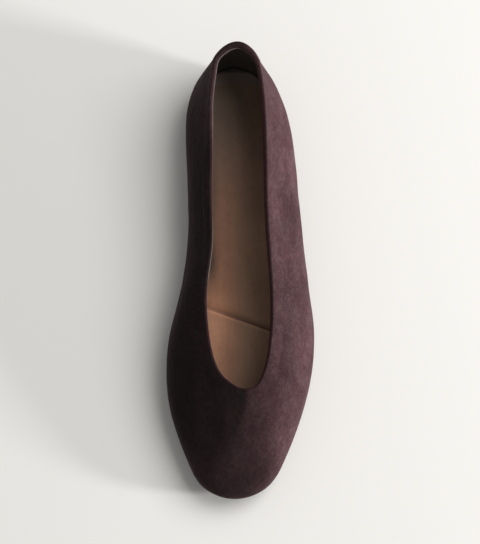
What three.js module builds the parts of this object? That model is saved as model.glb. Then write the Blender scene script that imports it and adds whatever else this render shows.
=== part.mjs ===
// A ballet flat for the left foot, standing empty on its sole.
// Millimetres. X runs to the inner, medial side of the foot, Y to the toe and Z up.
// The origin is on the floor, under the middle of the shoe.
import * as THREE from "three";

// Driving sizes
const LENGTH = 254; // back of the heel to the tip of the toe
const BALL_WIDTH = 82.3; // across the ball of the foot
const BACK_HEIGHT = 59.7; // floor to the topline at the back of the heel
const THROAT_HEIGHT = 40.4; // floor to the topline over the instep
const WALL = 2; // suede, stiffening and lining together
const HEM_THICKNESS = 2.8; // turned edge along the sides and the throat
const HEM_BACK_THICKNESS = 4.2; // turned edge at the back, where it is fullest
const HEM_DEPTH = 4; // turned edge, measured down the wall
const HEM_STEP = 1; // length over which the turned edge swells out of the wall
const CLEARANCE = 0.3; // between pieces that are glued together
const LINING_CLEARANCE = 0.45; // between the insole's side and the curved lining
const OUTSOLE_THICKNESS = 3;
const OUTSOLE_LIP = 0.8; // outsole past the lower edge of the upper
const OUTSOLE_BEVEL = 0.7; // broken edge under the outsole
const TOE_SPRING = 6.5; // lift of the sole under the tip of the toe
const INSOLE_THICKNESS = 4;
const INSOLE_CUP = 1.4; // rise of the insole's edge around the heel
const HEEL_HEIGHT = 7; // heel block, under the outsole
const HEEL_LENGTH = 65; // back of the heel to its breast
const HEEL_INSET = 0.6; // heel block inside the outsole's outline
const HEEL_TAPER = 1.2; // heel block's foot inside its top
const HEEL_HOLLOW = 3; // concave curve of the heel's breast
const WAIST_ARCH = 1.2; // extra lift of the sole between heel and tread

// Places along the sole, as shares of the length
const TREAD_BACK = 0.583;
const TREAD_FRONT = 0.79;

// Widest line of the upper, from the back of the heel to the toe. at is a share of the
// length, medial, lateral and the two tucks are shares of half the ball width. bulge is
// the height of the widest line, as a share of the wall from its lower edge to the
// topline. A tuck is how far the lower edge lies inside the widest line.
const WIDEST = [
  { at: 0, medial: 0.046, lateral: -0.046, bulge: 0.29, tuckMedial: 0.068, tuckLateral: 0.068 },
  { at: 0.028, medial: 0.418, lateral: 0.345, bulge: 0.29, tuckMedial: 0.068, tuckLateral: 0.068 },
  { at: 0.071, medial: 0.612, lateral: 0.535, bulge: 0.28, tuckMedial: 0.073, tuckLateral: 0.073 },
  { at: 0.134, medial: 0.717, lateral: 0.68, bulge: 0.27, tuckMedial: 0.087, tuckLateral: 0.078 },
  { at: 0.209, medial: 0.724, lateral: 0.753, bulge: 0.27, tuckMedial: 0.117, tuckLateral: 0.087 },
  { at: 0.291, medial: 0.707, lateral: 0.807, bulge: 0.27, tuckMedial: 0.165, tuckLateral: 0.107 },
  { at: 0.378, medial: 0.7, lateral: 0.86, bulge: 0.28, tuckMedial: 0.18, tuckLateral: 0.122 },
  { at: 0.463, medial: 0.736, lateral: 0.909, bulge: 0.3, tuckMedial: 0.165, tuckLateral: 0.112 },
  { at: 0.549, medial: 0.819, lateral: 0.967, bulge: 0.32, tuckMedial: 0.112, tuckLateral: 0.087 },
  { at: 0.634, medial: 0.955, lateral: 1.018, bulge: 0.31, tuckMedial: 0.078, tuckLateral: 0.068 },
  { at: 0.717, medial: 1.01, lateral: 0.987, bulge: 0.3, tuckMedial: 0.063, tuckLateral: 0.063 },
  { at: 0.791, medial: 0.974, lateral: 0.882, bulge: 0.29, tuckMedial: 0.058, tuckLateral: 0.058 },
  { at: 0.862, medial: 0.857, lateral: 0.731, bulge: 0.28, tuckMedial: 0.053, tuckLateral: 0.053 },
  { at: 0.925, medial: 0.702, lateral: 0.56, bulge: 0.24, tuckMedial: 0.049, tuckLateral: 0.049 },
  { at: 0.976, medial: 0.503, lateral: 0.34, bulge: 0.2, tuckMedial: 0.049, tuckLateral: 0.049 },
  { at: 1, medial: 0.087, lateral: -0.087, bulge: 0.17, tuckMedial: 0.049, tuckLateral: 0.049 },
];

// Topline, row for row with the widest line. rise runs from 0 at the throat's height to
// 1 at the back's. lean is the angle in degrees at which the wall comes up to the
// topline, and crown how full it is there, as a share of the wall's chord. shoulder is
// how far up the wall stays upright, as a share of its height above the widest line.
const TOPLINE = [
  { at: 0.012, medial: 0.044, lateral: -0.044, rise: 1, lean: 84, crown: 0.4, shoulder: 0.3 },
  { at: 0.035, medial: 0.295, lateral: 0.183, rise: 0.98, lean: 78, crown: 0.34, shoulder: 0.14 },
  { at: 0.071, medial: 0.37, lateral: 0.268, rise: 0.89, lean: 76, crown: 0.34, shoulder: 0.1 },
  { at: 0.13, medial: 0.415, lateral: 0.318, rise: 0.74, lean: 70, crown: 0.38, shoulder: 0.22 },
  { at: 0.201, medial: 0.425, lateral: 0.343, rise: 0.59, lean: 62, crown: 0.42, shoulder: 0.34 },
  { at: 0.283, medial: 0.434, lateral: 0.353, rise: 0.47, lean: 55, crown: 0.44, shoulder: 0.44 },
  { at: 0.374, medial: 0.438, lateral: 0.361, rise: 0.37, lean: 52, crown: 0.44, shoulder: 0.46 },
  { at: 0.461, medial: 0.438, lateral: 0.388, rise: 0.31, lean: 47, crown: 0.44, shoulder: 0.46 },
  { at: 0.551, medial: 0.51, lateral: 0.424, rise: 0.26, lean: 40, crown: 0.42, shoulder: 0.46 },
  { at: 0.632, medial: 0.503, lateral: 0.424, rise: 0.19, lean: 32, crown: 0.42, shoulder: 0.46 },
  { at: 0.697, medial: 0.44, lateral: 0.383, rise: 0.12, lean: 26, crown: 0.42, shoulder: 0.46 },
  { at: 0.738, medial: 0.34, lateral: 0.318, rise: 0.05, lean: 22, crown: 0.41, shoulder: 0.46 },
  { at: 0.758, medial: 0.232, lateral: 0.262, rise: 0.02, lean: 19, crown: 0.4, shoulder: 0.46 },
  { at: 0.769, medial: 0.136, lateral: 0.212, rise: 0.01, lean: 18, crown: 0.38, shoulder: 0.46 },
  { at: 0.777, medial: 0.045, lateral: 0.132, rise: 0, lean: 18, crown: 0.36, shoulder: 0.46 },
  { at: 0.779, medial: -0.045, lateral: 0.045, rise: 0, lean: 18, crown: 0.36, shoulder: 0.46 },
];

// Fineness of the surfaces
const SPOKES_PER_ROW = 4;
const LOWER_SHARES = [0, 0.35, 0.7];
const UPPER_SHARES = [0, 0.16, 0.32, 0.48, 0.64, 0.8, 1];
const HEM_SHARES = [1, 0.5, 0];
const RIM_ANGLES = [45, 90, 135];
const INSOLE_ACROSS = [0, 0.06, 0.2, 0.5, 0.8, 0.94, 1];
const HEEL_STEPS = 16;
const BREAST_STEPS = 6;
const SPLINE_PASSES = 60;

// Shape of the curves
const LOWER_FULLNESS = 0.3; // share of the height below the widest line
const HEM_FOCUS = 30; // how closely the fuller turned edge keeps to the back
const CUP_FOCUS = 4; // how closely the insole's rise keeps to its edge

const halfWidth = (BALL_WIDTH - WALL) / 2;
const backY = -LENGTH / 2;
const breastY = backY + HEEL_LENGTH;
const treadBackY = backY + TREAD_BACK * LENGTH;
const treadFrontY = backY + TREAD_FRONT * LENGTH;
const spokeCount = SPOKES_PER_ROW * 2 * (WIDEST.length - 1);

const smooth = (t) => THREE.MathUtils.smoothstep(t, 0, 1);

// Underside of the outsole: flat heel seat, arched waist, flat tread and toe spring.
function soleUnderside(y) {
  const waist = THREE.MathUtils.clamp((treadBackY - y) / (treadBackY - breastY), 0, 1);
  const arch = Math.sin(Math.PI * waist) ** 2;
  const toe = Math.max(0, (y - treadFrontY) / (LENGTH / 2 - treadFrontY));
  return HEEL_HEIGHT * smooth(waist) + WAIST_ARCH * arch + TOE_SPRING * toe ** 2;
}

const soleTop = (y) => soleUnderside(y) + OUTSOLE_THICKNESS;

// The values of one column all the way round the shoe: up the medial side, then back
// down the lateral side.
function aroundShoe(table, medialColumn, lateralColumn = medialColumn, lateralSign = 1) {
  const medial = table.map((row) => row[medialColumn]);
  const lateral = table.slice(1, -1).map((row) => lateralSign * row[lateralColumn]);
  return [...medial, ...lateral.reverse()];
}

// A closed cubic spline through the values, sampled at every spoke. The slopes settle
// to the ones that keep the curvature continuous.
function splineAround(values) {
  const count = values.length;
  const slopes = values.map(() => 0);
  for (let pass = 0; pass < SPLINE_PASSES; pass++) {
    for (let i = 0; i < count; i++) {
      const before = (i + count - 1) % count;
      const after = (i + 1) % count;
      slopes[i] = (3 * (values[after] - values[before]) - slopes[before] - slopes[after]) / 4;
    }
  }
  return Array.from({ length: spokeCount }, (_, spoke) => {
    const start = Math.floor(spoke / SPOKES_PER_ROW);
    const end = (start + 1) % count;
    const t = spoke / SPOKES_PER_ROW - start;
    const towardEnd = t * t * (3 - 2 * t);
    return (
      values[start] * (1 - towardEnd) +
      values[end] * towardEnd +
      slopes[start] * t * (1 - t) ** 2 -
      slopes[end] * t * t * (1 - t)
    );
  });
}

// One loop around the shoe in plan, in millimetres
function planLoop(table) {
  const at = splineAround(aroundShoe(table, "at"));
  const across = splineAround(aroundShoe(table, "medial", "lateral", -1));
  return at.map((share, i) => new THREE.Vector3(across[i] * halfWidth, (share - 0.5) * (LENGTH - WALL), 0));
}

const neighbour = (list, i, step) => list[(i + step + list.length) % list.length];

// Unit vectors in plan that point into the shoe, square to a loop
function inwardOf(loop) {
  return loop.map((_, i) => {
    const along = neighbour(loop, i, 1).clone().sub(neighbour(loop, i, -1));
    return new THREE.Vector3(-along.y, along.x, 0).normalize();
  });
}

// The wall's middle surface, one curve a spoke, from the lower edge to the topline
const widestLoop = planLoop(WIDEST);
const toplineLoop = planLoop(TOPLINE);
const inward = inwardOf(widestLoop);
const columns = {
  bulge: splineAround(aroundShoe(WIDEST, "bulge")),
  tuck: splineAround(aroundShoe(WIDEST, "tuckMedial", "tuckLateral")),
  rise: splineAround(aroundShoe(TOPLINE, "rise")),
  lean: splineAround(aroundShoe(TOPLINE, "lean")),
  crown: splineAround(aroundShoe(TOPLINE, "crown")),
  shoulder: splineAround(aroundShoe(TOPLINE, "shoulder")),
};

const hemThickness = (spoke) =>
  THREE.MathUtils.lerp(HEM_THICKNESS, HEM_BACK_THICKNESS, columns.rise[spoke] ** HEM_FOCUS);

const wallCurves = widestLoop.map((widestPlan, spoke) => {
  const feather = widestPlan.clone().addScaledVector(inward[spoke], columns.tuck[spoke] * halfWidth);
  feather.z = soleTop(feather.y) + CLEARANCE;
  const top = toplineLoop[spoke].clone();
  const height = THREE.MathUtils.lerp(THROAT_HEIGHT, BACK_HEIGHT, columns.rise[spoke]);
  top.z = height - hemThickness(spoke) / 2;
  const widest = widestPlan.clone();
  widest.z = THREE.MathUtils.lerp(feather.z, top.z, columns.bulge[spoke]);

  const lowHandle = widest.clone();
  lowHandle.z = THREE.MathUtils.lerp(feather.z, widest.z, LOWER_FULLNESS);
  const shoulder = widest.clone();
  shoulder.z = THREE.MathUtils.lerp(widest.z, top.z, columns.shoulder[spoke]);
  const reach = new THREE.Vector3(top.x - widest.x, top.y - widest.y, 0).normalize();
  const lean = THREE.MathUtils.degToRad(columns.lean[spoke]);
  const approach = reach.multiplyScalar(Math.cos(lean)).setZ(Math.sin(lean));
  const handle = columns.crown[spoke] * widest.distanceTo(top);
  const crown = top.clone().addScaledVector(approach, -handle);

  return {
    lower: new THREE.QuadraticBezierCurve3(feather, lowHandle, widest),
    upper: new THREE.CubicBezierCurve3(widest, shoulder, crown, top),
  };
});

// Points up each wall: rows below and above the widest line, then the turned edge
const wallRows = wallCurves.map(({ lower, upper }) => {
  const length = upper.getLength();
  const belowHem = 1 - (HEM_DEPTH + HEM_STEP) / length;
  return [
    ...LOWER_SHARES.map((share) => lower.getPointAt(share)),
    ...UPPER_SHARES.map((share) => upper.getPointAt(share * belowHem)),
    ...HEM_SHARES.map((share) => upper.getPointAt(1 - (share * HEM_DEPTH) / length)),
  ];
});
const rowCount = wallRows[0].length;
const firstHemRow = rowCount - HEM_SHARES.length;

const wallNormal = (spoke, row) => {
  const around = neighbour(wallRows, spoke, 1)[row].clone().sub(neighbour(wallRows, spoke, -1)[row]);
  const lower = wallRows[spoke][Math.max(row - 1, 0)];
  const upper = wallRows[spoke][Math.min(row + 1, rowCount - 1)];
  return around.cross(upper.clone().sub(lower)).normalize();
};

// A skin point, side +1 on the outside of the wall and -1 on the lining
function skinPoint(spoke, row, side, extra = 0) {
  const thickness = row >= firstHemRow ? hemThickness(spoke) : WALL;
  const point = wallRows[spoke][row].clone();
  point.addScaledVector(wallNormal(spoke, row), side * (thickness / 2 + extra));
  if (row === 0) point.z = soleTop(point.y) + CLEARANCE;
  return point;
}

function rimPoint(spoke, angle) {
  const last = rowCount - 1;
  const turn = THREE.MathUtils.degToRad(angle);
  const up = wallRows[spoke][last].clone().sub(wallRows[spoke][last - 1]).normalize();
  return wallRows[spoke][last]
    .clone()
    .addScaledVector(wallNormal(spoke, last), (Math.cos(turn) * hemThickness(spoke)) / 2)
    .addScaledVector(up, (Math.sin(turn) * hemThickness(spoke)) / 2);
}

// A closed body from its points and the triangles between them
function body(points, triangles) {
  const geometry = new THREE.BufferGeometry().setFromPoints(points);
  geometry.setIndex(triangles.flat());
  geometry.computeVertexNormals();
  return geometry;
}

const quad = (a, b, c, d) => [
  [a, b, c],
  [a, c, d],
];

// Triangles between neighbouring loops of equal length, the first loop the lowest on
// the outside
function bandTriangles(loopLength, loopNumbers) {
  const triangles = [];
  for (let n = 1; n < loopNumbers.length; n++) {
    const low = loopNumbers[n - 1] * loopLength;
    const high = loopNumbers[n] * loopLength;
    for (let i = 0; i < loopLength; i++) {
      const next = (i + 1) % loopLength;
      triangles.push(...quad(low + i, low + next, high + next, high + i));
    }
  }
  return triangles;
}

const aroundWall = (pointAt) => wallRows.map((_, spoke) => pointAt(spoke));

// Upper: up the outside, over the turned edge, down the lining and across the foot of
// the wall
function upperGeometry() {
  const rows = Array.from({ length: rowCount }, (_, row) => row);
  const outside = rows.map((row) => aroundWall((spoke) => skinPoint(spoke, row, 1)));
  const rim = RIM_ANGLES.map((angle) => aroundWall((spoke) => rimPoint(spoke, angle)));
  const lining = rows.reverse().map((row) => aroundWall((spoke) => skinPoint(spoke, row, -1)));
  const loops = [...outside, ...rim, ...lining];
  return body(loops.flat(), bandTriangles(spokeCount, [...loops.keys(), 0]));
}

// A ladder of rungs from the medial to the lateral side closes a loop. between gives
// the points inside a rung, in order from the medial side.
function ladder(points, firstOfLoop, between, facesUp) {
  const half = spokeCount / 2;
  const rungs = [];
  for (let i = 1; i < half; i++) {
    const medial = firstOfLoop + i;
    const lateral = firstOfLoop + spokeCount - i;
    const inside = between(points[medial], points[lateral]).map((point) => points.push(point) - 1);
    rungs.push([medial, ...inside, lateral]);
  }
  const triangles = [];
  const heelEnd = firstOfLoop;
  const toeEnd = firstOfLoop + half;
  for (let k = 1; k < rungs[0].length; k++) {
    triangles.push([heelEnd, rungs[0][k - 1], rungs[0][k]]);
    triangles.push([toeEnd, rungs.at(-1)[k], rungs.at(-1)[k - 1]]);
    for (let r = 1; r < rungs.length; r++) {
      triangles.push(...quad(rungs[r - 1][k - 1], rungs[r][k - 1], rungs[r][k], rungs[r - 1][k]));
    }
  }
  return facesUp ? triangles : triangles.map(([a, b, c]) => [a, c, b]);
}

// Outsole: the upper's lower edge in plan, let out by the lip
const outsoleLoop = aroundWall((spoke) =>
  skinPoint(spoke, 0, 1).addScaledVector(inward[spoke], -OUTSOLE_LIP),
);

function outsoleGeometry() {
  const underside = outsoleLoop.map((point, i) => {
    const inset = point.clone().addScaledVector(inward[i], OUTSOLE_BEVEL);
    return inset.setZ(soleUnderside(inset.y));
  });
  const side = outsoleLoop.map((point) => point.clone().setZ(soleUnderside(point.y) + OUTSOLE_BEVEL));
  const top = outsoleLoop.map((point) => point.clone().setZ(soleTop(point.y)));
  const points = [...underside, ...side, ...top];
  const noneBetween = () => [];
  return body(points, [
    ...ladder(points, 0, noneBetween, false),
    ...bandTriangles(spokeCount, [0, 1, 2]),
    ...ladder(points, 2 * spokeCount, noneBetween, true),
  ]);
}

// Insole, its side against the lining
const heelShare = (y) => 1 - smooth((y - backY) / (treadBackY - backY));

function liningPoint(spoke, height) {
  const lining = wallRows[spoke].map((_, row) => skinPoint(spoke, row, -1, LINING_CLEARANCE));
  const above = lining.findIndex((point) => point.z > height);
  const low = lining[above - 1];
  const high = lining[above];
  return low.lerp(high, (height - low.z) / (high.z - low.z));
}

function insoleGeometry() {
  const bottom = aroundWall((spoke) => skinPoint(spoke, 0, -1, LINING_CLEARANCE));
  const edges = bottom.map((point, spoke) => {
    const cup = INSOLE_CUP * heelShare(point.y);
    return liningPoint(spoke, point.z + INSOLE_THICKNESS + cup);
  });
  const points = [...bottom, ...edges];
  const dished = (medial, lateral) =>
    INSOLE_ACROSS.slice(1, -1).map((share) => {
      const point = medial.clone().lerp(lateral, share);
      const fromMiddle = Math.abs(2 * share - 1);
      const cup = INSOLE_CUP * heelShare(point.y) * fromMiddle ** CUP_FOCUS;
      return point.setZ(soleTop(point.y) + CLEARANCE + INSOLE_THICKNESS + cup);
    });
  return body(points, [
    ...ladder(points, 0, () => [], false),
    ...bandTriangles(spokeCount, [0, 1]),
    ...ladder(points, spokeCount, dished, true),
  ]);
}

// Heel block: the outsole's outline behind the breast, drawn in towards the floor
function outlineAt(y, medialSide) {
  const half = spokeCount / 2;
  const run = Array.from({ length: half + 1 }, (_, i) => neighbour(outsoleLoop, medialSide ? i : -i, 0));
  const ahead = run.findIndex((point) => point.y > y);
  const share = (y - run[ahead - 1].y) / (run[ahead].y - run[ahead - 1].y);
  return run[ahead - 1].clone().lerp(run[ahead], share);
}

function heelOutline(inset) {
  const back = outsoleLoop[0].y;
  const sideYs = Array.from({ length: HEEL_STEPS }, (_, i) => {
    const turn = ((i + 1) / HEEL_STEPS) * (Math.PI / 2);
    return back + (breastY - back) * (1 - Math.cos(turn));
  });
  const medial = sideYs.map((y) => outlineAt(y, true));
  const lateral = sideYs.map((y) => outlineAt(y, false));
  const breast = Array.from({ length: BREAST_STEPS - 1 }, (_, i) => {
    const share = (i + 1) / BREAST_STEPS;
    const point = medial.at(-1).clone().lerp(lateral.at(-1), share);
    point.y -= HEEL_HOLLOW * Math.sin(Math.PI * share);
    return point;
  });
  const loop = [outsoleLoop[0], ...medial, ...breast, ...lateral.reverse()];
  const into = inwardOf(loop);
  return loop.map((point, i) => point.clone().addScaledVector(into[i], inset));
}

function heelGeometry() {
  const foot = heelOutline(HEEL_INSET + HEEL_TAPER).map((point) => point.setZ(0));
  const top = heelOutline(HEEL_INSET).map((point) => point.setZ(HEEL_HEIGHT - CLEARANCE));
  const flat = foot.map((point) => new THREE.Vector2(point.x, point.y));
  const cap = THREE.ShapeUtils.triangulateShape(flat, []);
  const underneath = cap.map(([a, b, c]) => [a, c, b]);
  const onTop = cap.map((corners) => corners.map((corner) => corner + top.length));
  return body([...foot, ...top], [...underneath, ...bandTriangles(top.length, [0, 1]), ...onTop]);
}

// Pieces
const suede = new THREE.MeshStandardMaterial({ color: 0x4b3237, roughness: 0.95, metalness: 0 });
const lining = new THREE.MeshStandardMaterial({ color: 0x8a6650, roughness: 0.6, metalness: 0 });
const soleRubber = new THREE.MeshStandardMaterial({ color: 0x2b211f, roughness: 0.7, metalness: 0 });
const heelRubber = new THREE.MeshStandardMaterial({ color: 0x231b19, roughness: 0.65, metalness: 0 });

function piece(name, geometry, material) {
  const mesh = new THREE.Mesh(geometry, material);
  mesh.name = name;
  return mesh;
}

const shoe = new THREE.Group();
shoe.add(
  piece("upper", upperGeometry(), suede),
  piece("insole", insoleGeometry(), lining),
  piece("outsole", outsoleGeometry(), soleRubber),
  piece("heel", heelGeometry(), heelRubber),
);

export default shoe;
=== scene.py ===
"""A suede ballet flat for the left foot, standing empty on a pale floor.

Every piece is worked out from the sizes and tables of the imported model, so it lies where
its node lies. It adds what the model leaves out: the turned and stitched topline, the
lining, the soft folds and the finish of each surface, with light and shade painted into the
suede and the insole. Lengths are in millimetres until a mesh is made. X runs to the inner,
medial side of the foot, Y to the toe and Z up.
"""

import math

import bmesh
import bpy
import numpy as np
from mathutils import Matrix, Vector, noise


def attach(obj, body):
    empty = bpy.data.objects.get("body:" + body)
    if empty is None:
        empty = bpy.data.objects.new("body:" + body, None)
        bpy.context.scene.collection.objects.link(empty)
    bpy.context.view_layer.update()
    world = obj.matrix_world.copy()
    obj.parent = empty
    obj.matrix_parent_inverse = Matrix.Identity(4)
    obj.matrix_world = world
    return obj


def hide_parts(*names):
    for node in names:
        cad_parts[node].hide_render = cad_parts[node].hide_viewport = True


MM = 0.001

# Driving sizes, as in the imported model
LENGTH = 254
BALL_WIDTH = 82.3
BACK_HEIGHT = 59.7
THROAT_HEIGHT = 40.4
WALL = 2
HEM_THICKNESS = 2.8
HEM_BACK_THICKNESS = 4.2
HEM_DEPTH = 4
HEM_STEP = 1
CLEARANCE = 0.3
LINING_CLEARANCE = 0.45
OUTSOLE_THICKNESS = 3
OUTSOLE_LIP = 0.8
OUTSOLE_BEVEL = 0.7
TOE_SPRING = 6.5
INSOLE_THICKNESS = 4
INSOLE_CUP = 1.4
HEEL_HEIGHT = 7
HEEL_LENGTH = 65
HEEL_INSET = 0.6
HEEL_TAPER = 1.2
HEEL_HOLLOW = 3
WAIST_ARCH = 1.2
TREAD_BACK = 0.583
TREAD_FRONT = 0.79

# Widest line of the upper from the back of the heel to the toe, a place in every column.
# at is a share of the length. medial, lateral and the tucks, by which the lower edge
# lies further in, are shares of half the ball width. bulge is a share of the wall's
# height.
WIDEST = {
    "at": [0, 0.028, 0.071, 0.134, 0.209, 0.291, 0.378, 0.463]
    + [0.549, 0.634, 0.717, 0.791, 0.862, 0.925, 0.976, 1],
    "medial": [0.046, 0.418, 0.612, 0.717, 0.724, 0.707, 0.7, 0.736]
    + [0.819, 0.955, 1.01, 0.974, 0.857, 0.702, 0.503, 0.087],
    "lateral": [-0.046, 0.345, 0.535, 0.68, 0.753, 0.807, 0.86, 0.909]
    + [0.967, 1.018, 0.987, 0.882, 0.731, 0.56, 0.34, -0.087],
    "bulge": [0.29, 0.29, 0.28, 0.27, 0.27, 0.27, 0.28, 0.3]
    + [0.32, 0.31, 0.3, 0.29, 0.28, 0.24, 0.2, 0.17],
    "tuck_medial": [0.068, 0.068, 0.073, 0.087, 0.117, 0.165, 0.18, 0.165]
    + [0.112, 0.078, 0.063, 0.058, 0.053, 0.049, 0.049, 0.049],
    "tuck_lateral": [0.068, 0.068, 0.073, 0.078, 0.087, 0.107, 0.122, 0.112]
    + [0.087, 0.068, 0.063, 0.058, 0.053, 0.049, 0.049, 0.049],
}

# Topline, place for place with the widest line. rise runs from 0 at the throat's height
# to 1 at the back's, lean is the wall's angle in degrees at the topline, crown and
# shoulder are how full the wall is near its top and how long it stays upright.
TOPLINE = {
    "at": [0.012, 0.035, 0.071, 0.13, 0.201, 0.283, 0.374, 0.461]
    + [0.551, 0.632, 0.697, 0.738, 0.758, 0.769, 0.777, 0.779],
    "medial": [0.044, 0.295, 0.37, 0.415, 0.425, 0.434, 0.438, 0.438]
    + [0.51, 0.503, 0.44, 0.34, 0.232, 0.136, 0.045, -0.045],
    "lateral": [-0.044, 0.183, 0.268, 0.318, 0.343, 0.353, 0.361, 0.388]
    + [0.424, 0.424, 0.383, 0.318, 0.262, 0.212, 0.132, 0.045],
    "rise": [1, 0.98, 0.89, 0.74, 0.59, 0.47, 0.37, 0.31]
    + [0.26, 0.19, 0.12, 0.05, 0.02, 0.01, 0, 0],
    "lean": [84, 78, 76, 70, 62, 55, 52, 47, 40, 32, 26, 22, 19, 18, 18, 18],
    "crown": [0.4, 0.34, 0.34, 0.38, 0.42, 0.44, 0.44, 0.44]
    + [0.42, 0.42, 0.42, 0.41, 0.4, 0.38, 0.36, 0.36],
    "shoulder": [0.3, 0.14, 0.1, 0.22, 0.34, 0.44, 0.46, 0.46]
    + [0.46, 0.46, 0.46, 0.46, 0.46, 0.46, 0.46, 0.46],
}
LOWER_FULLNESS = 0.3
HEM_FOCUS = 30
CUP_FOCUS = 4

# Turned topline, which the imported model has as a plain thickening
TURNED_DEPTH = 5.6  # how far the turned suede reaches down inside
RIM_SQUARE = 0.8  # below 1 the rim's section is squarer than round
RIM_PROBE = 0.5  # height over which the wall's direction at the topline is taken
HEM_FADE = 11  # height over which the turned edge fades into the vamp
HEM_BACK_FADE = 2.2  # and the same at the back of the heel
HEM_FADE_BACK_Y = -50
HEM_FADE_FRONT_Y = 40

# Lining, in a rebate of the suede's inside
LINING_THICKNESS = 0.8
LINING_GAP = 0.06  # between the lining and the suede that it is glued to
REBATE_DROP = 0.15  # from the end of the turned suede down to the rebate
LINING_DROP = 0.4  # and down to the lining's top edge
LINING_EDGE = 0.5  # height over which that edge rounds over
LINING_EDGE_THIN = 0.15  # its share of the thickness where the rounding starts
LINING_EDGE_ROWS = [0.1, 0.25, 0.5]  # rows of the mesh, so far below it

# Seams and stitches
SEAM_DEPTH = 4.3  # topline to its row of stitches
SEAM_GROOVE = 0.28
SEAM_WIDTH = 0.5
SEAM_FADE_Y = -98  # where the seam starts to sink into the nap, and how soon it has gone
SEAM_FADE = 45
STITCH_PITCH = 2.9
STITCH_LENGTH = 2.3
STITCH_HIGH = 0.35  # share of the thread by which a stitch's middle stands out
STITCH_DIP = 0.9  # and by which its ends lie deeper than that
LEAST_STITCH = 0.03  # a stitch that shows less than this share is left out
THREAD = 0.4  # thickness of the sewing thread
THREAD_END = 0.06  # how blunt its ends are
BACK_SEAM_WIDTH = 0.6
BACK_SEAM_GROOVE = 0.35

# Rounded edges of insole, outsole and heel block
INSOLE_EDGE = 0.9
SOLE_EDGE = 0.35
HEEL_EDGE = 0.6

# Unevenness of a surface: its height, the size of its hollows and a seed
SUEDE_WAVES = (0.22, 24, 3)
SUEDE_DIMPLES = (0.1, 9, 8)
INSOLE_WAVES = (0.14, 17, 5)
# The line between painted light and painted shade wanders by this much
SHADE_LINE_WANDER = (1.6, 9, 21)

# Soft ridges and troughs of the worn upper, each with its line in plan, its height or,
# below zero, depth, and the half width over which it fades
CREASES = [
    ([(24.3, 60), (24.9, 76.7), (22.6, 95)], 0.45, 3.4),
    ([(16.5, 66), (17.2, 80), (14.5, 96)], -0.3, 4),
    ([(9.6, 84), (8.2, 98)], 0.3, 4),
    ([(-25, 27), (-21.5, 43.9), (-19.6, 58)], -0.3, 3.4),
    ([(-19.5, 30), (-14.8, 46.2), (-14, 58)], 0.22, 3.6),
    ([(-30.5, 44), (-28.5, 62)], 0.3, 4),
    ([(-30, -44), (-28.5, -28), (-30, -12)], -0.35, 7),
    ([(-28, -76), (-28.5, -60)], 0.4, 7),
    ([(-31, 0), (-30, 16)], 0.35, 6),
    ([(27, -30), (26, -8)], -0.4, 6),
    ([(31, 14), (33, 34)], 0.4, 6),
]

# Where painted light gives way to painted shade, from the middle of the heel over the throat
# to the toe. The lateral side, toward the lamps, is painted paler and the medial side is
# painted dark. dark and pale are how far each side is painted lit.
SHADE_LINE = {
    "y": [-127, -60, 60, 70, 76, 82, 88, 97, 103, 110, 127],
    "x": [-2, 0, -4, -3.1, -2.2, -0.6, 0.8, 2, 3, 7, 11],
    "softness": [7, 7, 4, 3.6, 3.6, 4, 5.5, 9, 15, 24, 32],
    "dark": [0.1, 0, 0, 0, 0, 0, 0.03, 0.12, 0.25, 0.45, 0.6],
    "pale": [0.9, 1, 1, 1, 1, 0.97, 0.93, 0.87, 0.8, 0.72, 0.6],
}

# Streaks of painted light, or below zero painted shade, on the ridges and in the troughs of
# the creases, each given like a crease
CREASE_LIGHT_AND_SHADE = [
    ([(24.3, 62), (24.9, 76.7), (23, 93)], 0.13, 2.6),
    ([(9.1, 88), (8.6, 95)], 0.08, 5),
    ([(-25.5, 30), (-23.2, 44), (-22, 56)], -0.14, 3.4),
    ([(-18.5, 36), (-14.5, 46.2), (-13.8, 58)], 0.12, 3.6),
    ([(-29.5, -44), (-28.5, -28), (-29, -14)], -0.12, 7),
    ([(-29, -78), (-28.5, -60)], 0.14, 8),
    ([(-34, 0), (-36, 30)], -0.1, 6),
    ([(-27, 75), (-20, 98)], 0.1, 6),
]

# Along the inner edge of the turned topline. pale is how far a pale painted highlight shows
# there on either side, where the edge catches the light, and red how far a dark red painted
# shade on the rim's inner face. shade is how wide a painted shade lies beside it on the
# lateral side, and light how strong a painted highlight lies on the rim on the medial side.
INNER_EDGE = {
    "y": [-127, -118, -108, -80, -66, -28, -18, 6, 12, 60, 72],
    "pale_medial": [0.5, 0.7, 1, 1, 0.3, 0.2, 0.8, 0.8, 0.15, 0.1, 0],
    "pale_lateral": [0.5, 0.3, 0.15, 0.1, 0, 0, 0, 0, 0, 0, 0],
    "red_medial": [0, 0, 0, 0.2, 0.6, 0.6, 0.2, 0.1, 0.3, 0.7, 0.5],
    "red_lateral": [0.2, 0.3, 0.6, 0.9, 0.9, 0.8, 0.7, 0.6, 0.6, 0.8, 0.5],
    "shade": [0.5, 0.5, 1, 1.6, 3.4, 7, 8.5, 9, 8.5, 4.5, 1],
    "light": [0.3, 0.4, 0.95, 0.6, 0.15, 0, -0.1, 0.05, 0.12, 0.16, 0.06],
}
SIDE_CHANGE = 6  # width over which one side's paint turns into the other's
SHADE_LOSS = 0.55  # share of the painted light that the painted shade takes away
SHADE_FALL = 1.5  # how squarely the painted shade ends
LIGHT_PLACE = 2.4  # how far outward of the edge the painted highlight on the rim is strongest
LIGHT_WIDTH = 2.6
PALE_WIDTH = 0.38
RED_WIDTH = 1.2

# The pale edge of the lining that shows inside the heel: how pale, and where
LINING_LINE = 0.9
LINING_LINE_DEPTH = 5.1
LINING_LINE_WIDTH = 0.5
LINING_LINE_Y = -88
LINING_LINE_FADE = 10
LINING_LINE_LOSS = 0.8  # share of it that is hidden on the medial side

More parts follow.
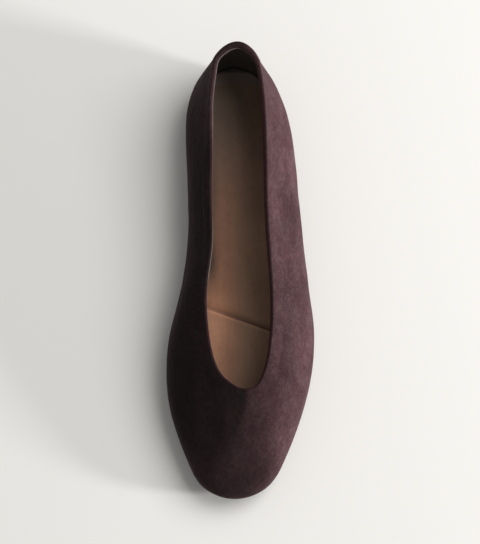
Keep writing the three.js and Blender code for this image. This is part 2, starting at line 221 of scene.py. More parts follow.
# The fold across the insole at the ball, a straight line in plan
FOLD_MEDIAL = np.array([18.7, 17])
FOLD_LATERAL = np.array([-17.8, 30.2])
FOLD_DROP = 2  # depth of the dip behind the fold
FOLD_SLOPE = 4.2  # how soon that has risen again, toward the heel
FOLD_RIDGE = 0.45  # height of the lip ahead of it
FOLD_LIP = 0.6  # width of the climb to the lip
FOLD_LIP_FALL = 3  # and how soon the lip has sunk, toward the toe
FOLD_REACH = 28  # how far along the shoe the insole's rows turn to run with the fold

# Distances in from the insole's edge over which its unevenness, fold and turn begin
UNEVEN_START = 4
FOLD_START = 3
TURN_START = 12

# Painted light and shade on the insole: darker, below zero, where shade falls, or paler where
# light falls, around some places, each with how far that reaches across and along the shoe
INSOLE_LIGHT_AND_SHADE = [
    ((0, -96), 60, 36, -0.36),
    ((12, -78), 9, 26, -0.14),
    ((0, -50), 60, 24, -0.14),
    ((0, -12), 60, 22, -0.08),
    ((13, 16), 9, 19, 0.62),
    ((14, 42), 8, 20, 0.55),
    ((16, -7), 3.4, 13, -0.72),
    ((15.6, -42), 3.4, 26, -0.38),
    ((-12, 40), 10, 30, 0.2),
    ((-12, -20), 10, 40, 0.24),
]

# The sock of the insole ends ahead of the back wall, and a grey seat shows behind it.
# The ends are places on the shoe's middle line. From there each runs forward to the
# sides, by its arc times the square of the distance.
SOCK_END = -115.4
SOCK_ARC = 0.018
# Behind the seat's end the insole is painted with the back wall's shade
SEAT_END = -120.5
SEAT_ARC = 0.004

# Fineness of the meshes
SPOKES_PER_PLACE = 20
CURVE_STEPS = 60
BODY_ROWS = 46
HEM_ZONE = 7.5  # band below the topline with rows of its own
HEM_ROWS = 22
RIM_STEPS = 9
REBATE_ROWS = 26
LINING_ROWS = 36
INSOLE_SIDE_ROWS = 140
RINGS = 30
SPINE_INSET = 22  # a body's rings shrink to a line that stops so far short of its ends
EDGE_STEPS = 6
INSOLE_NEAR = [0.05, 0.15, 0.35, 0.6, 0.9, 1.5, 2.4, 3.6]  # first rings, from the edge in
SOLE_NEAR = [0.4, 1.2]
INSOLE_UNDER_NEAR = [1]
INSOLE_LEVELS = (0.25, 0.5, 0.75, 1)
SOLE_LEVELS = (0.33, 0.66)
HEEL_LEVELS = (0.3, 0.5, 0.7, 0.9)
HEEL_STEPS = 60
BREAST_STEPS = 24
HEEL_EDGE_STEPS = 5
HEEL_SHARP = 50  # degrees of bend from which an edge of the block is shaded sharp
STITCH_STEPS = 9
THREAD_SIDES = 8

# Values that follow from the sizes
HALF_WIDTH = (BALL_WIDTH - WALL) / 2
BACK_Y = -LENGTH / 2
BREAST_Y = BACK_Y + HEEL_LENGTH
TREAD_BACK_Y = BACK_Y + TREAD_BACK * LENGTH
TREAD_FRONT_Y = BACK_Y + TREAD_FRONT * LENGTH
PLACES = 2 * (len(WIDEST["at"]) - 1)
SPOKES = PLACES * SPOKES_PER_PLACE

# Camera, which sees the shoe at the photo's angle
AIM = Vector((0, 0, 24)) * MM
CAMERA_PLACE = Vector((51.2, 252.5, 1169.2)) * MM
PHOTO_LENS = 111
CLOSER = 1.24  # the one shoe fills more of the frame than the pair did
ROLL = -0.57  # degrees

# Light and floor
WARM_WHITE = (1, 0.985, 0.965)
SKY = (1, 0.985, 0.955, 1)
SKY_STRENGTH = 0.3
FLOOR_HALF = 4  # metres


# Curves and surfaces


def smooth(t):
    t = np.clip(t, 0, 1)
    return t * t * (3 - 2 * t)


def bell(distance, width):
    """1 at no distance, falling softly to nothing within a few widths."""
    return np.exp(-((distance / width) ** 2))


def unit(vectors):
    return vectors / np.linalg.norm(vectors, axis=-1, keepdims=True)


def sole_underside(y):
    """Flat heel seat, arched waist, flat tread and toe spring."""
    waist = np.clip((TREAD_BACK_Y - y) / (TREAD_BACK_Y - BREAST_Y), 0, 1)
    toe = np.maximum(0, (y - TREAD_FRONT_Y) / (LENGTH / 2 - TREAD_FRONT_Y))
    arch = WAIST_ARCH * np.sin(np.pi * waist) ** 2
    return HEEL_HEIGHT * smooth(waist) + arch + TOE_SPRING * toe**2


def sole_top(y):
    return sole_underside(y) + OUTSOLE_THICKNESS


def around_shoe(table, medial, lateral=None, sign=1):
    """A column all the way round: up the medial side, then back down the lateral."""
    down = sign * np.array(table[lateral or medial])
    return np.concatenate([table[medial], down[-2:0:-1]])


def closed_spline(values):
    """A closed cubic through the values, with smooth curvature, at every spoke."""
    ring = np.eye(PLACES)
    links = 4 * ring + np.roll(ring, 1, axis=1) + np.roll(ring, -1, axis=1)
    slopes = np.linalg.solve(links, 3 * (np.roll(values, -1) - np.roll(values, 1)))
    start = np.repeat(np.arange(PLACES), SPOKES_PER_PLACE)
    end = (start + 1) % PLACES
    t = np.tile(np.arange(SPOKES_PER_PLACE) / SPOKES_PER_PLACE, PLACES)
    ease = smooth(t)
    level = values[start] * (1 - ease) + values[end] * ease
    return level + slopes[start] * t * (1 - t) ** 2 - slopes[end] * t**2 * (1 - t)


def plan_loop(table):
    """A loop around the shoe in plan."""
    across = closed_spline(around_shoe(table, "medial", "lateral", -1))
    at = closed_spline(around_shoe(table, "at"))
    flat = [across * HALF_WIDTH, (at - 0.5) * (LENGTH - WALL), 0 * at]
    return np.stack(flat, axis=1)


def inward_of(loop):
    """Unit vectors in plan that point into the shoe, square to a loop."""
    along = np.roll(loop, -1, axis=0) - np.roll(loop, 1, axis=0)
    return unit(np.stack([-along[:, 1], along[:, 0], 0 * along[:, 0]], axis=1))


def with_height(plan, height):
    return np.concatenate([plan[..., :2], np.asarray(height)[..., None]], axis=-1)


def bezier(corners, t):
    """Points of a Bezier curve on every spoke: spokes x steps x 3."""
    last = len(corners) - 1
    share = [math.comb(last, k) * t**k * (1 - t) ** (last - k) for k in range(last + 1)]
    return sum(s[None, :, None] * c[:, None, :] for s, c in zip(share, corners))


# The wall's middle surface, one line a spoke, from the lower edge to the topline
widest_plan = plan_loop(WIDEST)
topline_plan = plan_loop(TOPLINE)
inward = inward_of(widest_plan)
rise = closed_spline(around_shoe(TOPLINE, "rise"))
lean = np.radians(closed_spline(around_shoe(TOPLINE, "lean")))
hem_half = (HEM_THICKNESS + (HEM_BACK_THICKNESS - HEM_THICKNESS) * rise**HEM_FOCUS) / 2
rim_turns = np.linspace(0, math.pi, RIM_STEPS + 2)[1:-1]

# Directions in plan: along the insole's fold to the lateral side, and ahead of it
fold_run = unit(FOLD_LATERAL - FOLD_MEDIAL)
fold_ahead = np.array([fold_run[1], -fold_run[0]])


def wall_lines():
    tuck = closed_spline(around_shoe(WIDEST, "tuck_medial", "tuck_lateral"))
    bulge = closed_spline(around_shoe(WIDEST, "bulge"))
    crown = closed_spline(around_shoe(TOPLINE, "crown"))
    shoulder = closed_spline(around_shoe(TOPLINE, "shoulder"))

    feather = widest_plan + inward * (tuck * HALF_WIDTH)[:, None]
    low = sole_top(feather[:, 1]) + CLEARANCE
    feather = with_height(feather, low)
    high = THROAT_HEIGHT + (BACK_HEIGHT - THROAT_HEIGHT) * rise - hem_half
    top = with_height(topline_plan, high)
    middle = low + (high - low) * bulge
    widest = with_height(widest_plan, middle)

    low_handle = with_height(widest_plan, low + (middle - low) * LOWER_FULLNESS)
    upright = with_height(widest_plan, middle + (high - middle) * shoulder)
    reach = unit(topline_plan - widest_plan)
    approach = with_height(reach * np.cos(lean)[:, None], np.sin(lean))
    handle = crown * np.linalg.norm(top - widest, axis=1)
    full = top - approach * handle[:, None]

    t = np.linspace(0, 1, CURVE_STEPS + 1)
    lower = bezier([feather, low_handle, widest], t)
    upper = bezier([widest, upright, full, top], t)
    return np.concatenate([lower, upper[:, 1:]], axis=1)


def normals_of(lines):
    """Outward normals of the surface that the spokes' lines make up."""
    around = np.roll(lines, -1, axis=0) - np.roll(lines, 1, axis=0)
    return unit(np.cross(around, np.gradient(lines, axis=1)))


lines = wall_lines()
line_normals = normals_of(lines)
line_run = np.zeros(lines.shape[:2])
line_run[:, 1:] = np.cumsum(np.linalg.norm(np.diff(lines, axis=1), axis=2), axis=1)
wall_length = line_run[:, -1]
back_x = lines[0, -1, 0]


def on_wall(depths):
    """Points and outward normals of the middle surface, so far down from the topline.

    depths has a row for each loop, with one value for it all or one for each spoke."""
    depths = np.broadcast_to(depths, (len(depths), SPOKES))
    points = np.empty(depths.shape + (3,))
    normals = np.empty_like(points)
    for spoke in range(SPOKES):
        run = line_run[spoke]
        height = wall_length[spoke] - depths[:, spoke]
        for axis in range(3):
            points[:, spoke, axis] = np.interp(height, run, lines[spoke, :, axis])
            normals[:, spoke, axis] = np.interp(height, run, line_normals[spoke, :, axis])
    return points, unit(normals)


def skin(depths, offsets):
    """Loops at these depths, moved out of the middle surface by the offsets."""
    points, normals = on_wall(depths)
    moved = points + normals * np.broadcast_to(offsets, points.shape[:2])[..., None]
    at_edge = depths >= wall_length - 1e-6
    moved[..., 2] = np.where(at_edge, sole_top(moved[..., 1]) + CLEARANCE, moved[..., 2])
    return moved


def half_thickness(depths, step=HEM_STEP):
    """Half of the wall, which swells into the turned edge over a step in height."""
    swell = smooth((HEM_DEPTH + HEM_STEP - depths) / step)
    return WALL / 2 + (hem_half - WALL / 2) * swell


def outside_step():
    """The step on the outside, which is plain beside the heel and fades on the vamp."""
    reach = HEM_FADE_FRONT_Y - HEM_FADE_BACK_Y
    forward = smooth((topline_plan[:, 1] - HEM_FADE_BACK_Y) / reach)
    at_back = (HEM_BACK_FADE - HEM_STEP) * rise**HEM_FOCUS
    return HEM_STEP + (HEM_FADE - HEM_STEP) * forward + at_back


def seam_share(y):
    """How far the topline's seam still shows, from 1 at the heel to 0."""
    return 1 - smooth((y - SEAM_FADE_Y) / SEAM_FADE)


def heel_share(y):
    return 1 - smooth((y - BACK_Y) / (TREAD_BACK_Y - BACK_Y))


def down_to_edge(first, rows):
    """Even steps from a depth down to the lower edge: rows x spokes."""
    share = np.linspace(0, 1, rows)[:, None]
    return first + (wall_length - first) * share


def quarter_round(radius, steps):
    """Insets and heights of a rounded lower edge, from underneath up."""
    turns = np.linspace(0, math.pi / 2, steps)
    return [(radius * (1 - math.sin(a)), radius * (1 - math.cos(a))) for a in turns]


# Relief and paint of the suede


def read_at(table, y):
    """Every column of a table at these places along the shoe."""
    return {name: np.interp(y, table["y"], column) for name, column in table.items()}


def bumps(points, height, size, seed):
    """Smooth unevenness up to a height, with hollows of about this size."""
    shift = Vector((seed, 0, 0))
    flat = [noise.noise(Vector(p) / size + shift) for p in points.reshape(-1, 3)]
    return height * np.reshape(flat, points.shape[:-1])


def line_distance(points, line):
    """How far points lie in plan from a line through some places."""
    nearest = np.full(points.shape[:-1], np.inf)
    for start, end in zip(np.array(line[:-1]), np.array(line[1:])):
        from_start = points[..., :2] - start
        along = np.clip(from_start @ (end - start) / np.sum((end - start) ** 2), 0, 1)
        apart = from_start - along[..., None] * (end - start)
        nearest = np.minimum(nearest, np.linalg.norm(apart, axis=-1))
    return nearest


def ridges(points, marks):
    """The heights of soft ridges, each with a line, a height and a half width."""
    total = np.zeros(points.shape[:-1])
    for line, height, half_width in marks:
        total += height * bell(line_distance(points, line), half_width)
    return total


def suede_relief(points, depths):
    """How far the suede stands out or in: its seams, creases and unevenness."""
    seam = -SEAM_GROOVE * bell(depths - SEAM_DEPTH, SEAM_WIDTH)
    seam *= seam_share(points[..., 1])
    below_hem = smooth((depths - HEM_DEPTH) / HEM_STEP)
    behind = points[..., 1] < BACK_Y / 2
    at_back = bell(points[..., 0] - back_x, BACK_SEAM_WIDTH)
    back_seam = -BACK_SEAM_GROOVE * at_back * below_hem * behind
    uneven = bumps(points, *SUEDE_WAVES) + bumps(points, *SUEDE_DIMPLES)
    off_edges = smooth(np.minimum(depths, wall_length - depths) / HEM_ZONE)
    return seam + back_seam + (uneven + ridges(points, CREASES)) * off_edges


def painted_side_light(points):
    """1 where the suede is painted lit and 0 where it is painted in shade, with the painted
    light and shade of the creases added.
    """
    here = read_at(SHADE_LINE, points[..., 1])
    middle = here["x"] + bumps(points, *SHADE_LINE_WANDER)
    side = smooth(0.5 - (points[..., 0] - middle) / here["softness"])
    return here["dark"] + (here["pale"] - here["dark"]) * side + ridges(points, CREASE_LIGHT_AND_SHADE)


def inner_edge_paint(nap_and_painted_light, outward, inside):
    """The painted light and shade, the pale painted highlight with the lining's pale edge, and
    the dark red painted shade, from distances outward of the edge.

    inside is how far down the inside the points lie."""
    y = topline_plan[:, 1]
    here = read_at(INNER_EDGE, y)
    medial = smooth(0.5 + topline_plan[:, 0] / SIDE_CHANGE)
    beside = np.clip(outward, 0, None) / here["shade"]
    # Painted shade beside the edge on the lateral side, and a painted highlight on the medial
    # rim
    nap_and_painted_light = nap_and_painted_light * (1 - (1 - medial) * SHADE_LOSS * np.exp(-(beside**SHADE_FALL)))
    nap_and_painted_light = nap_and_painted_light + medial * here["light"] * bell(outward - LIGHT_PLACE, LIGHT_WIDTH)
    # Pale painted highlight along the rim's inner edge, and below it the lining's pale edge
    pale = here["pale_lateral"] + (here["pale_medial"] - here["pale_lateral"]) * medial
    pale = pale * bell(outward - PALE_WIDTH / 2, PALE_WIDTH)
    around_heel = smooth((LINING_LINE_Y - y) / LINING_LINE_FADE)
    line = LINING_LINE * around_heel * (1 - LINING_LINE_LOSS * medial)
    pale = pale + line * bell(inside - LINING_LINE_DEPTH, LINING_LINE_WIDTH)
    # Dark red painted shade on the rim's inner face
    red = here["red_lateral"] + (here["red_medial"] - here["red_lateral"]) * medial
    return nap_and_painted_light, pale, red * bell(outward, RED_WIDTH)


# Meshes


def band_faces(loops, length, closed=False):
    """Quads between neighbouring loops. closed joins the last loop to the first."""
    low = np.arange(loops if closed else loops - 1)[:, None]
    high = (low + 1) % loops
    i = np.arange(length)[None, :]
    j = (i + 1) % length
    corners = [low * length + i, low * length + j, high * length + j, high * length + i]
    return np.stack(corners, axis=-1).reshape(-1, 4).tolist()


def end_faces(loops, length):
    """One face over the first of the loops and one over the last."""
    first = list(range(length))[::-1]
    last = [(loops - 1) * length + k for k in range(length)]
    return [first, last]


def piece(name, points, faces, finish, merge=False, sharp=None):
    """A smooth-shaded object from points in millimetres, riding on the shoe.

    merge joins points that lie on each other. sharp is the bend in degrees from which
    an edge is shaded sharp."""
    mesh = bpy.data.meshes.new(name)
    mesh.from_pydata((np.reshape(points, (-1, 3)) * MM).tolist(), [], faces)
    if merge:
        work = bmesh.new()
        work.from_mesh(mesh)
        bmesh.ops.remove_doubles(work, verts=work.verts, dist=0.002 * MM)
        work.to_mesh(mesh)
        work.free()
    mesh.shade_smooth()
    if sharp is not None:
        mesh.set_sharp_from_angle(angle=math.radians(sharp))
    mesh.materials.append(finish)
    made = bpy.data.objects.new(name, mesh)
    bpy.context.scene.collection.objects.link(made)
    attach(made, "root")
    return made


def ring_piece(name, loops, finish):
    """A closed solid whose section, made of the loops, runs right round the shoe."""
    return piece(name, loops, band_faces(len(loops), SPOKES, closed=True), finish)


def capped_piece(name, loops, finish):
    """A closed solid whose first and last loops have shrunk to a line."""
    return piece(name, loops, band_faces(len(loops), SPOKES), finish, merge=True)


def paint(made, name, values):
    """Gives every point of a piece a value that its finish reads by name."""
    layer = made.data.attributes.new(name, "FLOAT", "POINT")
    layer.data.foreach_set("value", np.ravel(values))


def places(made):
    """The points of a piece, in millimetres."""
    flat = np.empty(3 * len(made.data.vertices))
    made.data.vertices.foreach_get("co", flat)
    return flat.reshape(-1, 3) / MM


def spine(loop):
    """The loop's middle line, which stops short of both ends, point for point."""
    opposite = np.roll(loop[::-1], 1, axis=0)
    middle = (loop + opposite) / 2
    half = middle[: len(loop) // 2 + 1]
    rising = np.maximum.accumulate(half[:, 1])
    y = np.clip(middle[:, 1], rising[0] + SPINE_INSET, rising[-1] - SPINE_INSET)
    return np.stack([np.interp(y, rising, half[:, 0]), y, 0 * y], axis=1)


def rings(edge, near, count):
    """Loops from an edge in to its spine: first at the near distances, then evenly.

    Each comes with its points' shares of the way in and distances from the edge."""
    middle = spine(edge)
    reach = np.linalg.norm((middle - edge)[:, :2], axis=1)
    first = np.array([distance / reach for distance in near])
    even = np.linspace(0, 1, count + 1)[1:, None]
    shares = np.concatenate([first, first[-1] + (1 - first[-1]) * even])
    plan = edge + (middle - edge) * shares[..., None]
    return plan, shares, shares * reach


def flat_rings(edge, near, count, height):
    """Rings in from an edge, at the height that a function of y gives."""
    plan, _, _ = rings(edge, near, count)
    return [with_height(ring, height(ring[:, 1])) for ring in plan]


# The upper


def rim_loops():
    """The rounded top of the turned edge, from the outside over to the inside."""
    points, normals = on_wall(np.array([[RIM_PROBE], [0]]))
    up = unit(points[1] - points[0])
    out = np.sign(np.cos(rim_turns)) * np.abs(np.cos(rim_turns)) ** RIM_SQUARE
    high = np.sin(rim_turns) ** RIM_SQUARE
    return [
        points[1] + (normals[1] * o + up * h) * hem_half[:, None] for o, h in zip(out, high)
    ]


def edge_distances(outer_depths, inner_depths):
    """How far every loop lies outward of the edge that shows from right above, and how
    far down the inside it lies."""
    quarter = hem_half * math.pi / 2
    outside = -outer_depths - quarter
    over = (rim_turns[:, None] - math.pi / 2) * hem_half
    inside = inner_depths + quarter
    around = np.concatenate([outside, over, inside])
    return lean * hem_half - around, around - quarter


def make_upper(finish):
    """The suede wall. Its outer skin and the depths of that skin's loops come back."""
    body = down_to_edge(HEM_ZONE, BODY_ROWS)[::-1]
    hem = np.linspace(HEM_ZONE, 0, HEM_ROWS)[1:, None] * np.ones(SPOKES)
    outer_depths = np.concatenate([body, hem])
    thickness = half_thickness(outer_depths, outside_step())
    bare = skin(outer_depths, thickness)
    outer = skin(outer_depths, thickness + suede_relief(bare, outer_depths))

    turned = np.linspace(0, TURNED_DEPTH, HEM_ROWS)[:, None] * np.ones(SPOKES)
    rebate = down_to_edge(TURNED_DEPTH + REBATE_DROP, REBATE_ROWS)
    inner_turned = skin(turned, -half_thickness(turned))
    inner_rebate = skin(rebate, LINING_THICKNESS - WALL / 2)
    loops = [*outer, *rim_loops(), *inner_turned, *inner_rebate]
    made = ring_piece("upper_suede", loops, finish)

    # Painted light and shade on the suede: its lit and shaded sides, the light and shade of
    # the creases, and along the rim's inner edge the painted shade, highlight and dark red
    # shade, with the lining's pale edge
    nap_and_painted_light = painted_side_light(places(made)).reshape(len(loops), SPOKES)
    outward, inside = edge_distances(outer_depths, np.concatenate([turned, rebate]))
    nap_and_painted_light, pale, red = inner_edge_paint(nap_and_painted_light, outward, inside)
    paint(made, "nap_and_painted_light", nap_and_painted_light)
    paint(made, "pale", pale)
    paint(made, "red", red)
    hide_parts("upper")
    return outer, outer_depths


def make_lining(finish):
    """A sheet against the inside of the suede, its top edge rounded over."""
    depths = down_to_edge(TURNED_DEPTH + LINING_DROP, LINING_ROWS)
    depths[1:4] = depths[0] + np.array(LINING_EDGE_ROWS)[:, None]
    into = np.clip((depths - depths[0]) / LINING_EDGE, 0, 1)
    fullness = LINING_EDGE_THIN + (1 - LINING_EDGE_THIN) * np.sqrt(1 - (1 - into) ** 2)
    behind = LINING_THICKNESS - WALL / 2 - LINING_GAP
    front = behind + (-WALL / 2 - behind) * fullness
    loops = [*skin(depths, behind)[::-1], *skin(depths, front)]
    ring_piece("lining", loops, finish)


def read_along(places_on_run, run, values):
    """Rows of values at places on a run."""
    return np.stack([np.interp(places_on_run, run, column) for column in values.T], axis=1)


def short_thread(path, sideways, upward):
    """A thread along a short path with closed ends: points and faces."""
    turn = np.linspace(0, 2 * math.pi, THREAD_SIDES, endpoint=False)[:, None]
    along = np.linspace(-1, 1, len(path))
    radius = THREAD / 2 * np.sqrt(np.maximum(THREAD_END, 1 - along**6))
    ring = np.cos(turn) * sideways[:, None] + np.sin(turn) * upward[:, None]
    points = path[:, None] + ring * radius[:, None, None]
    faces = band_faces(len(path), THREAD_SIDES) + end_faces(len(path), THREAD_SIDES)
    return points.reshape(-1, 3), faces


def make_stitches(outer, outer_depths, finish):
    """The topline's stitches on the outer skin, each dipping in at its ends."""
    row_height = HEM_ZONE / (HEM_ROWS - 1)
    row = len(outer_depths) - 1 - round(SEAM_DEPTH / row_height)
    _, normals = on_wall(outer_depths[row : row + 1])
    seam = np.concatenate([outer[row], outer[row, :1]])
    out = np.concatenate([normals[0], normals[0, :1]])
    run = np.concatenate([[0], np.cumsum(np.linalg.norm(np.diff(seam, axis=0), axis=1))])
    count = int(run[-1] / STITCH_PITCH)
    along = np.linspace(-1, 1, STITCH_STEPS)
    arch = (STITCH_HIGH - STITCH_DIP * along**4) * THREAD
    points, faces = [], []
    for n in range(count):
        middle = (n + 0.5) * run[-1] / count
        stretch = middle + along * STITCH_LENGTH / 2
        path = read_along(stretch, run, seam)
        share = seam_share(path[STITCH_STEPS // 2, 1])
        if share < LEAST_STITCH:
            continue
        upward = unit(read_along(stretch, run, out))
        path += upward * (arch - THREAD * (1 - share))[:, None]
        sideways = unit(np.cross(np.gradient(path, axis=0), upward))
        more, quads = short_thread(path, sideways, upward)
        base = len(points) * len(more)
        points.append(more)
        faces += [[base + k for k in face] for face in quads]
    piece("topline_stitches", np.concatenate(points), faces, finish)


# Insole, outsole and heel block


def fold_relief(x, y):
    """A slope down to the fold from the heel's side, and a lip on the toe's side."""
    past = (x - FOLD_MEDIAL[0]) * fold_ahead[0] + (y - FOLD_MEDIAL[1]) * fold_ahead[1]
    slope = -FOLD_DROP * np.exp(np.minimum(past, 0) / FOLD_SLOPE)
    lip = FOLD_RIDGE * np.exp(-np.maximum(past - FOLD_LIP, 0) / FOLD_LIP_FALL)
    climb = smooth(past / FOLD_LIP)
    return slope * (1 - climb) + lip * climb


def insole_light_tone(points):
    """Half the tone of painted light and shade, so that paler places stay below 1."""
    tone = np.ones(len(points))
    for (x, y), across, along, change in INSOLE_LIGHT_AND_SHADE:
        reach = ((points[:, 0] - x) / across) ** 2 + ((points[:, 1] - y) / along) ** 2
        tone += change * np.exp(-reach)
    return tone / 2


def loop_at(wall, heights):
    """The loop around a wall of loops at a height of its own for every spoke."""
    loop = np.empty((SPOKES, 3))
    for spoke in range(SPOKES):
        column = wall[::-1, spoke]
        rising = np.maximum.accumulate(column[:, 2])
        for axis in range(3):
            loop[spoke, axis] = np.interp(heights[spoke], rising, column[:, axis])
    return with_height(loop, heights)


def insole_side():
    """Loops up the insole's side, which lies a clearance inside the lining."""
    lining = skin(down_to_edge(0, INSOLE_SIDE_ROWS), -WALL / 2 - LINING_CLEARANCE)
    bottom = lining[-1]
    low = bottom[:, 2]
    rim = low + INSOLE_THICKNESS + INSOLE_CUP * heel_share(bottom[:, 1])
    height = rim - INSOLE_EDGE - low
    return [bottom, *(loop_at(lining, low + height * share) for share in INSOLE_LEVELS)]


def insole_top(edge):
    """Loops from the insole's side over its rounded edge, cup and fold."""
    plan, shares, from_edge = rings(edge, INSOLE_NEAR, RINGS)
    x, y = plan[..., 0], plan[..., 1]
    across, ahead = FOLD_LATERAL - FOLD_MEDIAL
    slant = ahead / across
    middle_y = FOLD_MEDIAL[1] - slant * FOLD_MEDIAL[0]
    y = y + slant * x * bell(y - middle_y, FOLD_REACH) * smooth(from_edge / TURN_START)

    to_flat = INSOLE_EDGE - np.minimum(from_edge, INSOLE_EDGE)
    rounding = INSOLE_EDGE - np.sqrt(INSOLE_EDGE**2 - to_flat**2)
    cup = INSOLE_CUP * heel_share(y) * (1 - shares) ** CUP_FOCUS
    flat = np.stack([x, y, 0 * x], axis=-1)
    uneven = bumps(flat, *INSOLE_WAVES) * smooth(from_edge / UNEVEN_START)
    z = sole_top(y) + CLEARANCE + INSOLE_THICKNESS + cup - rounding
    z += (fold_relief(x, y) + uneven) * smooth(from_edge / FOLD_START)
    return [*np.stack([x, y, z], axis=-1)]


def make_insole(finish):
    side = insole_side()
    count = RINGS // 3
    under = flat_rings(side[0], INSOLE_UNDER_NEAR, count, lambda y: sole_top(y) + CLEARANCE)
    loops = [*under[::-1], *side, *insole_top(side[-1])]
    made = capped_piece("insole_sock", loops, finish)
    # Painted light and shade of the insole, kept as a tone
    paint(made, "tone", insole_light_tone(places(made)))
    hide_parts("insole")


def make_outsole(finish):
    """The sole, with a bevel below and a softer edge above. Its outline comes back."""
    lip = skin(down_to_edge(0, 2)[1:], WALL / 2)[0] - inward * OUTSOLE_LIP

    def loop(inset, height):
        plan = lip + inward * inset
        return with_height(plan, sole_underside(plan[:, 1]) + height)

    straight = OUTSOLE_THICKNESS - OUTSOLE_BEVEL - SOLE_EDGE
    bevel = [loop(inset, height) for inset, height in quarter_round(OUTSOLE_BEVEL, EDGE_STEPS)]
    side = [loop(0, OUTSOLE_BEVEL + share * straight) for share in SOLE_LEVELS]
    crest = [
        loop(inset, OUTSOLE_THICKNESS - below)
        for below, inset in quarter_round(SOLE_EDGE, EDGE_STEPS)
    ]
    under = flat_rings(bevel[0], SOLE_NEAR, RINGS // 2, sole_underside)
    top = flat_rings(crest[-1], SOLE_NEAR, RINGS // 2, sole_top)
    loops = [*under[::-1], *bevel, *side, *crest, *top]
    made = capped_piece("outsole_rubber", loops, finish)
    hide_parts("outsole")
    return lip


def heel_outline(lip, inset):
    """The outsole's outline behind the breast, closed by a hollow curve."""
    half = SPOKES // 2
    back = lip[0, 1]
    turns = np.linspace(0, math.pi / 2, HEEL_STEPS + 1)[1:]
    ys = back + (BREAST_Y - back) * (1 - np.cos(turns))

    def side(run):
        rising = np.maximum.accumulate(run[:, 1])
        return np.stack([np.interp(ys, rising, run[:, 0]), ys, 0 * ys], axis=1)

    medial = side(lip[: half + 1])
    lateral = side(np.roll(lip[::-1], 1, axis=0)[: half + 1])
    share = np.linspace(0, 1, BREAST_STEPS + 1)[1:-1, None]
    breast = medial[-1] + (lateral[-1] - medial[-1]) * share
    breast[:, 1] -= HEEL_HOLLOW * np.sin(np.pi * share[:, 0])
    outline = np.concatenate([lip[:1] * [1, 1, 0], medial, breast, lateral[::-1]])
    return outline + inward_of(outline) * inset


def make_heel(lip, finish):
    """The block under the heel, tapering down to a rounded edge."""
    height = HEEL_HEIGHT - CLEARANCE
    low_inset = HEEL_INSET + HEEL_TAPER
    levels = [(low_inset + inset, z) for inset, z in quarter_round(HEEL_EDGE, HEEL_EDGE_STEPS)]
    levels += [(HEEL_INSET + HEEL_TAPER * (1 - s), s * height) for s in HEEL_LEVELS]
    levels += [(HEEL_INSET, height)]
    outlines = [(heel_outline(lip, inset), z) for inset, z in levels]
    loops = [with_height(outline, np.full(len(outline), z)) for outline, z in outlines]
    length = len(loops[0])
    faces = band_faces(len(loops), length) + end_faces(len(loops), length)
    made = piece("heel_block", loops, faces, finish, sharp=HEEL_SHARP)
    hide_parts("heel")


# Materials


